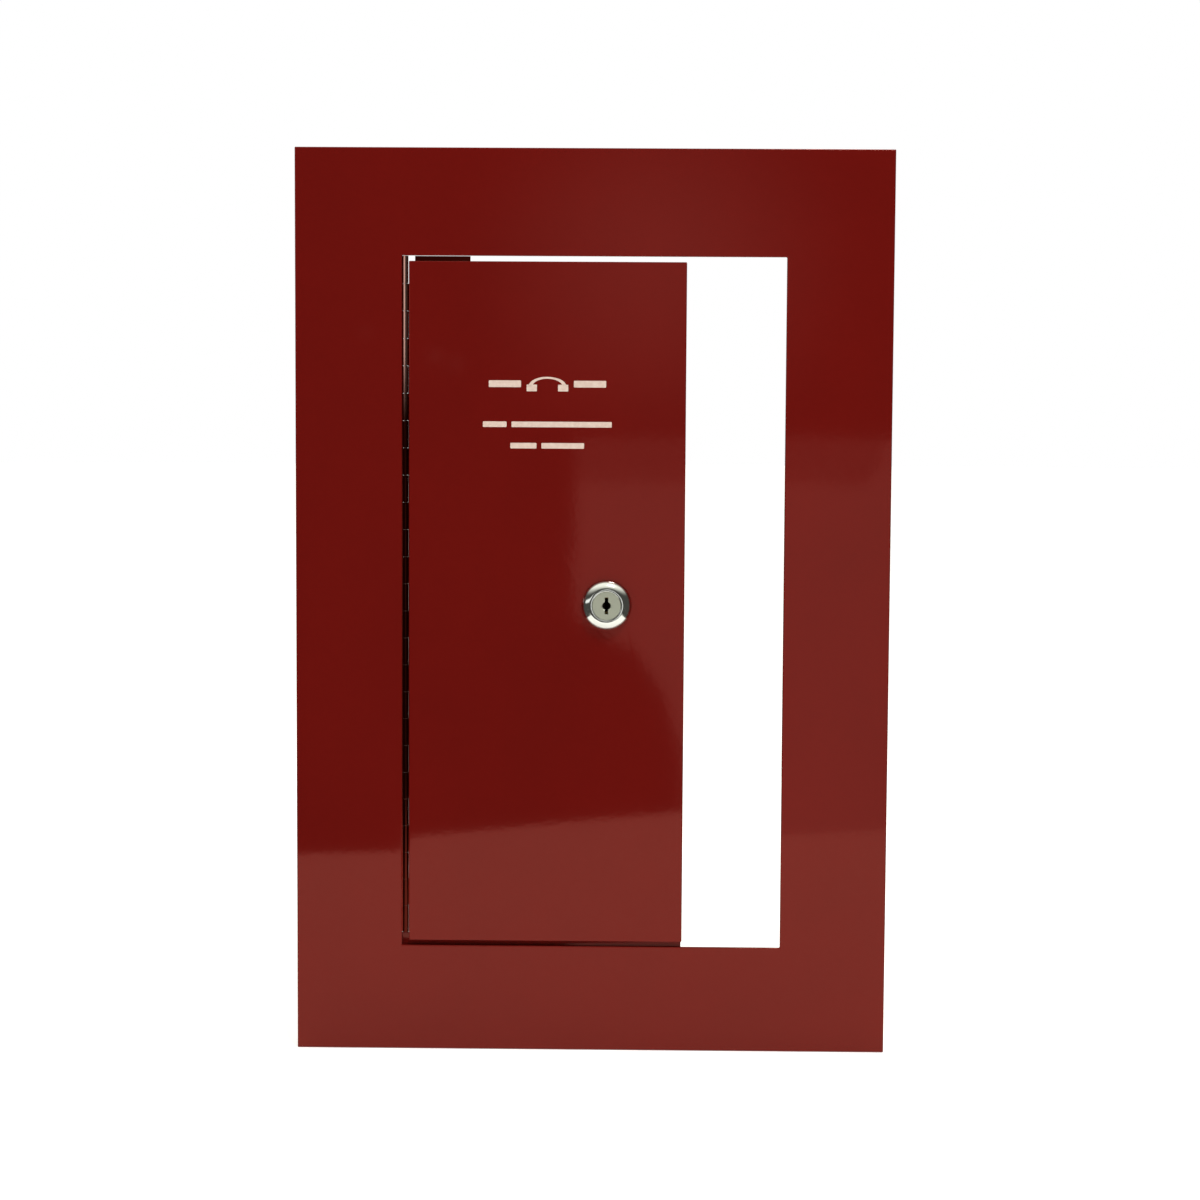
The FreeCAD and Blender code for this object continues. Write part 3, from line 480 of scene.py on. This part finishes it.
def hexagon_nut(shape, across, bore, bottom, top):
    """A nut along Z: a hexagon round a bore, with its corners turned off at both faces."""
    radius = across / 2 / math.cos(math.pi / 6)
    outside = bmesh.ops.create_circle(shape, segments=6, radius=radius)["verts"]
    bmesh.ops.subdivide_edges(shape, edges=[e for e in shape.edges if e.verts[0] in outside], cuts=5)
    bmesh.ops.create_circle(shape, segments=36, radius=bore)
    bmesh.ops.bridge_loops(shape, edges=[e for e in shape.edges if e.is_wire])
    bmesh.ops.translate(shape, vec=(0, 0, bottom), verts=shape.verts)
    upper = thicken(shape, (0, 0, top - bottom))
    for vert in shape.verts:
        corner = math.hypot(vert.co.x, vert.co.y) - across / 2
        if corner > 0:
            vert.co.z += corner * (-CORNER_SLOPE if vert in upper else CORNER_SLOPE)


def turned(shape, outline, steps):
    """Turns an outline of (radius, along) points round Z, as on a lathe."""
    points = [shape.verts.new((radius, 0, along)) for radius, along in outline]
    edges = [shape.edges.new(pair) for pair in zip(points, points[1:])]
    bmesh.ops.spin(shape, geom=points + edges, cent=(0, 0, 0), axis=(0, 0, 1), angle=math.tau,
                   steps=steps, use_merge=True)
    bmesh.ops.remove_doubles(shape, verts=shape.verts, dist=0.000001)


def join(shape, other):
    """Puts another shape's mesh beside what is in this one."""
    mesh = bpy.data.meshes.new("part")
    other.to_mesh(mesh)
    other.free()
    shape.from_mesh(mesh)
    bpy.data.meshes.remove(mesh)


def flange_nuts(name, node, body, places):
    """Hexagon nuts, each on a round flange with a turned edge."""
    low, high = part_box(node)
    shape = bmesh.new()
    hexagon_nut(shape, NUT_ACROSS, NUT_BORE, low.y + NUT_FOOT, high.y)
    flange = bmesh.new()
    turned(flange, [(radius, low.y + height) for radius, height in FLANGE], steps=36)
    join(shape, flange)
    set_out(shape, places)
    finish_piece(name, shape, zinc_plate, body, "zinc_plate", node)


stud_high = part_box("bracket_studs")[1]
corner_x = stud_high.x - STUD_RADIUS
corner_z = stud_high.z - STUD_RADIUS
bracket_places = [(x, z) for x in (-corner_x, corner_x) for z in (-corner_z, corner_z)]
studs("bracket_weld_studs", "bracket_studs", "trim", bracket_places)
flange_nuts("bracket_flange_nuts", "bracket_nuts", "trim", bracket_places)


# Continuous hinge: two leaves of thin sheet rolled into knuckles round a steel wire, one leaf bolted to
# the trim and one to the door by five studs each.
# Plain rolled steel under a film of oil: grey and half dull, with fine streaks along the strip. In
# front, red overspray tints it glossy brown, and the tone there is painted light: dark brown low on
# the barrel (painted shade), lighter towards its top (a painted highlight), and a mid red-brown on
# the leaf faces set back behind the sheets, tuned to the shade in the gaps (painted shade).
hinge_steel = new_finish("oiled_rolled_steel")
where = add(hinge_steel, "TexCoord")
rolled = add(hinge_steel, "Mapping", {"Vector": where.outputs["Object"], "Scale": (900.0, 900.0, 14.0)})
rolling_streaks = add(hinge_steel, "TexNoise", {
    "Vector": rolled.outputs[0], "Scale": 1.0, "Detail": 3.0,
})
oil_film = add(hinge_steel, "TexNoise", {"Vector": where.outputs["Object"], "Scale": 45.0, "Detail": 3.0})
steel_tone = add(hinge_steel, "Mix", {
    0: oil_film.outputs["Fac"], 6: linear("#8b8985"), 7: linear("#6f6a63"),
}, data_type="RGBA")
facing = add(hinge_steel, "SeparateXYZ", {"Vector": where.outputs["Normal"]})
in_front = add(hinge_steel, "MapRange", {"Value": facing.outputs["Y"], "From Min": 0.3, "From Max": -0.1})
place = add(hinge_steel, "SeparateXYZ", {"Vector": where.outputs["Object"]})
# Leaf faces set back behind the sheets get a red-brown of their own: painted shade for the gaps.
set_back_painted_shade = add(hinge_steel, "MapRange", {
    "Value": place.outputs["Y"], "From Min": -0.0005, "From Max": -0.0001,
})
# The barrel's front is painted dark low down and light towards the top: painted shade and a painted
# highlight.
painted_highlight_height = add(hinge_steel, "MapRange", {"Value": place.outputs["Z"], "From Min": 0.082, "From Max": 0.112})
barrel_painted_light = add(hinge_steel, "Mix", {
    0: painted_highlight_height.outputs["Result"], 6: linear("#46160f"), 7: linear("#a88074"),
}, data_type="RGBA")
overspray_with_painted_light = add(hinge_steel, "Mix", {
    0: set_back_painted_shade.outputs["Result"], 6: barrel_painted_light.outputs[2], 7: linear("#7a281e"),
}, data_type="RGBA")
hinge_tone = add(hinge_steel, "Mix", {
    0: in_front.outputs["Result"], 6: steel_tone.outputs[2], 7: overspray_with_painted_light.outputs[2],
}, data_type="RGBA")
bare_gloss = add(hinge_steel, "MapRange", {
    "Value": rolling_streaks.outputs["Fac"], "To Min": 0.24, "To Max": 0.42,
})
steel_gloss = add(hinge_steel, "Mix", {
    0: in_front.outputs["Result"], 2: bare_gloss.outputs["Result"], 3: 0.10,
})
steel_shade = add(hinge_steel, "BsdfPrincipled", {
    "Base Color": hinge_tone.outputs[2], "Metallic": 1.0, "Roughness": steel_gloss.outputs[0],
})
add(hinge_steel, "OutputMaterial", {"Surface": steel_shade.outputs[0]})

# Drawn steel wire: mid grey, with fine scratches along it from the die.
drawn_wire = new_finish("drawn_steel_wire")
where = add(drawn_wire, "TexCoord")
drawn = add(drawn_wire, "Mapping", {"Vector": where.outputs["Object"], "Scale": (4000.0, 4000.0, 60.0)})
streaks = add(drawn_wire, "TexNoise", {"Vector": drawn.outputs[0], "Scale": 1.0, "Detail": 2.0})
wire_gloss = add(drawn_wire, "MapRange", {"Value": streaks.outputs["Fac"], "To Min": 0.25, "To Max": 0.5})
wire_shade = add(drawn_wire, "BsdfPrincipled", {
    "Base Color": linear("#8d8a86"), "Metallic": 1.0, "Roughness": wire_gloss.outputs["Result"],
})
add(drawn_wire, "OutputMaterial", {"Surface": wire_shade.outputs[0]})


def paint(node, finish):
    """Gives a CAD solid its finish."""
    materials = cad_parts[node].data.materials
    for i in range(len(materials)):
        materials[i] = finish


paint("hinge_pin", drawn_wire)
paint("hinge_leaf_trim", hinge_steel)
paint("hinge_leaf_door", hinge_steel)

for side in ("trim", "door"):
    stud_low, stud_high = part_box(side + "_hinge_studs")
    x = (stud_low.x + stud_high.x) / 2
    bottom, top = stud_low.z + STUD_RADIUS, stud_high.z - STUD_RADIUS
    places = [(x, bottom + (top - bottom) * step / 4) for step in range(5)]
    studs(side + "_weld_studs", side + "_hinge_studs", side, places)
    flange_nuts(side + "_flange_nuts", side + "_hinge_nuts", side, places)


# Door: a flat sheet of the same steel and paint, hung in the left of the opening, with a hole whose
# two flat sides keep the lock from turning.
LOCK_X = 0.00635
HOLE_RADIUS = 0.009675
HOLE_FLAT = 0.0081      # from the middle of the hole to a flat side
low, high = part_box("door_panel")
shape = bmesh.new()
upright_sheet(shape, low.x, high.x, low.z, high.z, low.y)
bmesh.ops.delete(shape, geom=shape.faces[:], context="FACES_ONLY")
hole = bmesh.ops.create_circle(shape, segments=64, radius=HOLE_RADIUS, matrix=UPRIGHT)["verts"]
for vert in hole:
    vert.co.x = max(-HOLE_FLAT, min(HOLE_FLAT, vert.co.x))
bmesh.ops.translate(shape, vec=(LOCK_X, low.y, 0), verts=hole)
bmesh.ops.triangle_fill(shape, use_beauty=True, edges=shape.edges[:])
thicken(shape, (0, high.y - low.y, 0))
deburr(shape, SHEET_EDGE)
finish_piece("door_sheet", shape, red_powder_coat, "door", "red_paint", "door_panel")


# Legend: screen-printed ink above the lock. A plain telephone handset between two bars stands in for
# the printed heading, and two pairs of bars for the lines under it.
# Warm white ink, pulled thin through a mesh: half matt, with the red showing through in fine mottles.
screen_ink = new_finish("screen_printed_ink")
where = add(screen_ink, "TexCoord")
mesh_marks = add(screen_ink, "TexNoise", {"Vector": where.outputs["Object"], "Scale": 700.0, "Detail": 3.0})
ink_tone = add(screen_ink, "Mix", {
    0: mesh_marks.outputs["Fac"], 6: linear("#ddcdc0"), 7: linear("#c2a498"),
}, data_type="RGBA")
ink_shade = add(screen_ink, "BsdfPrincipled", {
    "Base Color": ink_tone.outputs[2], "Roughness": 0.45, "IOR": 1.5,
})
add(screen_ink, "OutputMaterial", {"Surface": ink_shade.outputs[0]})

INK = 0.00004           # thickness of the ink over the paint
INK_ROOT = 0.00001      # how far it reaches into the paint, so that no gap shows
INK_CORNER = 0.0003     # radius of the corners


def ink_bar(shape, left, right, bottom, top):
    """One printed bar with slightly rounded corners."""
    bar = bmesh.new()
    upright_sheet(bar, left, right, bottom, top, 0)
    bmesh.ops.bevel(bar, geom=bar.verts[:], offset=INK_CORNER, segments=3, profile=0.5,
                    affect="VERTICES", material=-1)
    join(shape, bar)


door_low, door_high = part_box("door_panel")
middle = (door_low.x + door_high.x) / 2
shape = bmesh.new()
for line_bottom, line_top, bars in (
    (0.0974, 0.1004, ((-0.0262, -0.0118), (0.0118, 0.0262))),
    (0.0796, 0.0821, ((-0.0288, -0.0182), (-0.0160, 0.0288))),
    (0.0701, 0.0726, ((-0.0165, -0.0048), (-0.0026, 0.0165))),
):
    for left, right in bars:
        ink_bar(shape, middle + left, middle + right, line_bottom, line_top)

# The handset: half a ring for the grip, with a square-ended cup at each end.
GRIP_INSIDE, GRIP_OUTSIDE = 0.0062, 0.0078
CUP_OUT = 0.0070        # from the middle of the handset to the middle of a cup
CUP_HALF = 0.0023       # half a cup's width
handset = bmesh.new()
grip = [handset.verts.new((-radius, 0, 0)) for radius in (GRIP_INSIDE, GRIP_OUTSIDE)]
bmesh.ops.spin(handset, geom=[*grip, handset.edges.new(grip)], cent=(0, 0, 0), axis=(0, 1, 0),
               angle=math.pi, steps=24)
bmesh.ops.scale(handset, vec=(1.08, 1, 0.55), verts=handset.verts)
bmesh.ops.translate(handset, vec=(middle, 0, 0.0978), verts=handset.verts)
join(shape, handset)
for cup in (middle - CUP_OUT, middle + CUP_OUT):
    ink_bar(shape, cup - CUP_HALF, cup + CUP_HALF, 0.0956, 0.0986)
bmesh.ops.translate(shape, vec=(0, door_low.y - INK, 0), verts=shape.verts)
thicken(shape, (0, INK + INK_ROOT, 0))
finish_piece("legend", shape, screen_ink, "door", "red_paint")


# Lock housing: a zinc die casting with a broad rounded bezel in front of the door and a threaded
# barrel with two flats behind it.
# Bright chromium over nickel: cool and mirror-like, a little clouded by hands and keys.
chrome_plate = new_finish("bright_chrome_plate")
where = add(chrome_plate, "TexCoord")
handling = add(chrome_plate, "TexNoise", {"Vector": where.outputs["Object"], "Scale": 500.0, "Detail": 4.0})
chrome_gloss = add(chrome_plate, "MapRange", {
    "Value": handling.outputs["Fac"], "To Min": 0.05, "To Max": 0.16,
})
chrome_shade = add(chrome_plate, "BsdfPrincipled", {
    "Base Color": linear("#cfd2cc"), "Metallic": 1.0, "Roughness": chrome_gloss.outputs["Result"],
})
add(chrome_plate, "OutputMaterial", {"Surface": chrome_shade.outputs[0]})


def onto_lock(shape, along=0.0):
    """Turns what was made along Z into the wall, and moves it onto the lock's axis."""
    bmesh.ops.rotate(shape, cent=(0, 0, 0), matrix=INTO_WALL, verts=shape.verts)
    bmesh.ops.translate(shape, vec=(LOCK_X, along, 0), verts=shape.verts)


BEZEL = 0.0112          # radius of the bezel
BEZEL_FOOT = 0.0002     # height of its straight edge over the door
BEZEL_LIP = 0.0003      # chamfer round the bore and at the foot
BORE = 0.00635          # radius of the bore round the plug
ROUND_FROM = 0.0076     # radius at which the rounding starts, at the first slope
FIRST_SLOPE = math.radians(20)
low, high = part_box("lock_housing")
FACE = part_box("door_panel")[0].y
rounded = []
for step in range(13):
    turn = FIRST_SLOPE + (math.radians(90) - FIRST_SLOPE) * step / 12
    across = (math.sin(turn) - math.sin(FIRST_SLOPE)) / (1 - math.sin(FIRST_SLOPE))
    down = 1 - math.cos(turn) / math.cos(FIRST_SLOPE)
    rounded.append((ROUND_FROM + (BEZEL - ROUND_FROM) * across,
                    low.y + (FACE - BEZEL_FOOT - low.y) * down))
shape = bmesh.new()
turned(shape, [
    (BORE, FACE), (BORE, low.y + BEZEL_LIP), (BORE + BEZEL_LIP / 3, low.y + BEZEL_LIP / 3),
    (BORE + BEZEL_LIP, low.y), *rounded, (BEZEL - BEZEL_LIP, FACE), (BORE, FACE),
], steps=96)
onto_lock(shape)
finish_piece("lock_bezel", shape, chrome_plate, "door", "chrome_plate", "lock_housing")

# Barrel: its thread is cut to length and flattened at two sides, its end faces are opened round the
# bore, and the two mouths are joined by the bore's wall.
BARREL = 0.009525       # radius over the thread
BARREL_THREAD = 0.0005
BARREL_PITCH = 0.0010
BARREL_FLAT = 0.00795   # from the axis to a flat side
BARREL_BORE = 0.00575
barrel_end = high.y - 0.001
shape = bmesh.new()
threaded_rod(shape, BARREL, BARREL_THREAD, BARREL_PITCH, FACE, barrel_end, steps=48)
for side in (-1, 1):
    cut(shape, (side * BARREL_FLAT, 0, 0), (side, 0, 0))
ends = [f for f in shape.faces if abs(f.normal.z) > 0.999]
bmesh.ops.delete(shape, geom=ends, context="FACES_ONLY")
for level in (FACE, barrel_end):
    place = Matrix.Translation((0, 0, level))
    mouth = bmesh.ops.create_circle(shape, segments=64, radius=BARREL_BORE, matrix=place)["verts"]
    edges = [e for e in shape.edges if e.is_wire and e.verts[0] in mouth]
    edges += [e for e in shape.edges if e.is_boundary
              and all(abs(v.co.z - level) < 0.00001 for v in e.verts)]
    bmesh.ops.triangle_fill(shape, edges=edges)
bmesh.ops.bridge_loops(shape, edges=[e for e in shape.edges if e.is_boundary])
onto_lock(shape)
finish_piece("lock_barrel", shape, chrome_plate, "door", "chrome_plate", "lock_housing")


# Lock fixing: a thin hexagon nut on the barrel clamps the door between bezel and nut, over a toothed
# washer that bites the back of the door.
# Satin nickel on the nut: warm grey, and softly blurred by the fine etch under the plating.
nickel_plate = new_finish("satin_nickel_plate")
where = add(nickel_plate, "TexCoord")
satin = add(nickel_plate, "TexNoise", {"Vector": where.outputs["Object"], "Scale": 1500.0, "Detail": 2.0})
nickel_gloss = add(nickel_plate, "MapRange", {"Value": satin.outputs["Fac"], "To Min": 0.22, "To Max": 0.40})
nickel_shade = add(nickel_plate, "BsdfPrincipled", {
    "Base Color": linear("#b9b5a6"), "Metallic": 1.0, "Roughness": nickel_gloss.outputs["Result"],
})
add(nickel_plate, "OutputMaterial", {"Surface": nickel_shade.outputs[0]})

LOCK_NUT_ACROSS = 0.0222
LOCK_NUT_BORE = 0.0096
low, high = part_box("lock_mounting_nut")
shape = bmesh.new()
hexagon_nut(shape, LOCK_NUT_ACROSS, LOCK_NUT_BORE, low.y, high.y)
onto_lock(shape)
finish_piece("lock_nut", shape, nickel_plate, "door", "nickel_plate", "lock_mounting_nut")

# Tooth washer: a spring steel ring with eighteen twisted teeth round its rim, zinc plated.
TEETH = 18
TOOTH_ROOT = 0.90       # radius between the teeth, as a part of the radius over them
TWIST = 0.00012         # how far each side of a tooth is bent out of the ring
WASHER_BORE = 0.0097
WASHER_SHEET = 0.0005   # thickness of the ring
WASHER_CLEAR = 0.00002  # from the back of the door to the nearest corner of a tooth
low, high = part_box("lock_tooth_washer")
shape = bmesh.new()
rim = bmesh.ops.create_circle(shape, segments=4 * TEETH, radius=(high.x - low.x) / 2)["verts"]
for number, vert in enumerate(rim):
    if number % 4 > 1:
        vert.co *= TOOTH_ROOT
    vert.co.z = TWIST if number % 4 in (0, 3) else -TWIST
bmesh.ops.create_circle(shape, segments=4 * TEETH, radius=WASHER_BORE)
bmesh.ops.bridge_loops(shape, edges=shape.edges[:])
thicken(shape, (0, 0, WASHER_SHEET))
onto_lock(shape, low.y + TWIST + WASHER_CLEAR)
finish_piece("tooth_washer", shape, zinc_plate, "door", "zinc_plate", "lock_tooth_washer")


# Key plug, tumblers and cam: the nickel-plated plug turns in the housing with its brass tumblers and
# carries the stop washer and the cam, held by a split washer and a cross-head screw.
# Stamped brass on the tumblers: dull yellow, browned in spots by handling and old oil.
brass = new_finish("stamped_brass")
where = add(brass, "TexCoord")
tarnish = add(brass, "TexNoise", {"Vector": where.outputs["Object"], "Scale": 600.0, "Detail": 3.0})
brass_tone = add(brass, "Mix", {
    0: tarnish.outputs["Fac"], 6: linear("#b5924f"), 7: linear("#8d6d39"),
}, data_type="RGBA")
brass_shade = add(brass, "BsdfPrincipled", {
    "Base Color": brass_tone.outputs[2], "Metallic": 1.0, "Roughness": 0.35,
})
add(brass, "OutputMaterial", {"Surface": brass_shade.outputs[0]})

# Worn satin nickel on the plug: pale and blurred on its face; inside the keyway it is painted near black,
# painted shade for the dark recess.
PLUG_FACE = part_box("lock_plug")[0].y
KEYWAY_REACH = 0.0041   # the keyway lies inside this radius
plug_nickel = new_finish("worn_satin_nickel")
where = add(plug_nickel, "TexCoord")
centred = add(plug_nickel, "Mapping", {
    "Vector": where.outputs["Object"], "Location": (-LOCK_X, -PLUG_FACE, 0.0),
})
depth = add(plug_nickel, "SeparateXYZ", {"Vector": centred.outputs[0]})
flat = add(plug_nickel, "VectorMath", {0: centred.outputs[0], 1: (1.0, 0.0, 1.0)}, operation="MULTIPLY")
radius = add(plug_nickel, "VectorMath", {0: flat.outputs[0]}, operation="LENGTH")
sunk = add(plug_nickel, "MapRange", {"Value": depth.outputs["Y"], "From Min": 0.00008, "From Max": 0.0003})
central = add(plug_nickel, "MapRange", {
    "Value": radius.outputs["Value"], "From Min": KEYWAY_REACH, "From Max": KEYWAY_REACH + 0.0002,
    "To Min": 1.0, "To Max": 0.0,
})
# Deep inside the keyway the nickel is painted near black and rough: painted shade.
keyway_painted_shade = add(plug_nickel, "Math", {
    0: sunk.outputs["Result"], 1: central.outputs["Result"],
}, operation="MULTIPLY")
plug_tone = add(plug_nickel, "Mix", {
    0: keyway_painted_shade.outputs["Value"], 6: linear("#c4c8b6"), 7: linear("#0d0b09"),
}, data_type="RGBA")
plug_gloss = add(plug_nickel, "MapRange", {
    "Value": keyway_painted_shade.outputs["Value"], "To Min": 0.52, "To Max": 0.8,
})
plug_shade = add(plug_nickel, "BsdfPrincipled", {
    "Base Color": plug_tone.outputs[2], "Metallic": 1.0, "Roughness": plug_gloss.outputs["Result"],
})
add(plug_nickel, "OutputMaterial", {"Surface": plug_shade.outputs[0]})
paint("lock_plug", plug_nickel)
for number in range(1, 6):
    paint(f"wafer_tumbler_{number}", brass)
STAMPED_EDGE = 0.0002
eased_copy("cam", "lock_cam", zinc_plate, "plug", "zinc_plate", STAMPED_EDGE)
for node in ("cam_stop_washer", "cam_lock_washer", "cam_screw"):
    paint(node, zinc_plate)
